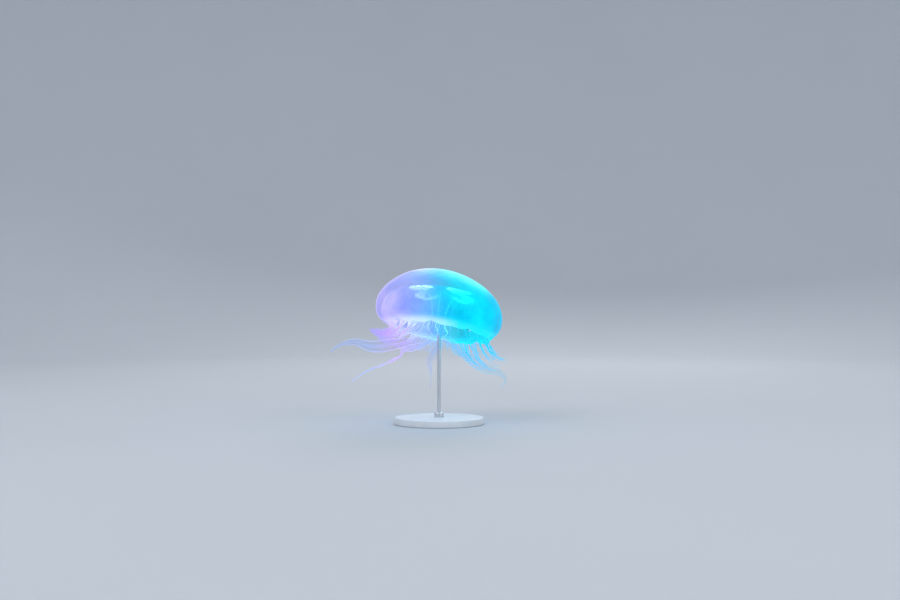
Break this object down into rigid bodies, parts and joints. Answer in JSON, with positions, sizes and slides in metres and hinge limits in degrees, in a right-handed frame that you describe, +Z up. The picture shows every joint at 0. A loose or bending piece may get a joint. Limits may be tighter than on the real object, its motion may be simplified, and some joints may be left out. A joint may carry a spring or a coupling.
{
  "type": "moon jellyfish",
  "caption": "Translucent moon jellyfish swimming with its bell drawn in, fringe and frilled oral arms trailing, held on a round display base by a slim upright rod.",
  "frame": {"origin": "middle of the underside of the round stand base, where it rests", "axes": "+Z up, +X towards the viewer's right as the animal is seen in its pose, +Y away from the viewer; the long left oral arm trails towards -X"},
  "size_m": [0.2522, 0.1789, 0.2198],
  "materials": {
    "bell_jelly": "wet translucent jelly, lilac on one side to cyan on the other, glossy",
    "tentacles": "fine milky threads, lilac to blue, glossy",
    "sense_organs": "small bulbs on pale stalks, with a violet spot of pigment at the end",
    "gonads": "frilled milky bands, nearly white, satin",
    "oral_arms": "thin frilled translucent ribbons, lilac to blue",
    "stand_base": "satin off-white lacquer on steel",
    "stand_steel": "fine brushed stainless steel"
  },
  "bodies": {
    "root": {"bell": "bell_jelly", "mouth_tube": "bell_jelly", "margin_tentacles_1": "tentacles", "margin_tentacles_2": "tentacles", "margin_tentacles_3": "tentacles", "margin_tentacles_4": "tentacles", "margin_tentacles_5": "tentacles", "margin_tentacles_6": "tentacles", "margin_tentacles_7": "tentacles", "margin_tentacles_8": "tentacles", "sense_organ_1": "sense_organs", "sense_organ_2": "sense_organs", "sense_organ_3": "sense_organs", "sense_organ_4": "sense_organs", "sense_organ_5": "sense_organs", "sense_organ_6": "sense_organs", "sense_organ_7": "sense_organs", "sense_organ_8": "sense_organs", "gonad_1": "gonads", "gonad_2": "gonads", "gonad_3": "gonads", "gonad_4": "gonads", "oral_arm_left_root": "oral_arms", "oral_arm_left_middle": "oral_arms", "oral_arm_left_tip": "oral_arms", "oral_arm_front_root": "oral_arms", "oral_arm_front_middle": "oral_arms", "oral_arm_front_tip": "oral_arms", "oral_arm_back_root": "oral_arms", "oral_arm_back_middle": "oral_arms", "oral_arm_back_tip": "oral_arms", "oral_arm_right_root": "oral_arms", "oral_arm_right_middle": "oral_arms", "oral_arm_right_tip": "oral_arms", "stand_base": "stand_base", "stand_rod": "stand_steel", "stand_collar": "stand_steel"}
  },
  "joints": []
}
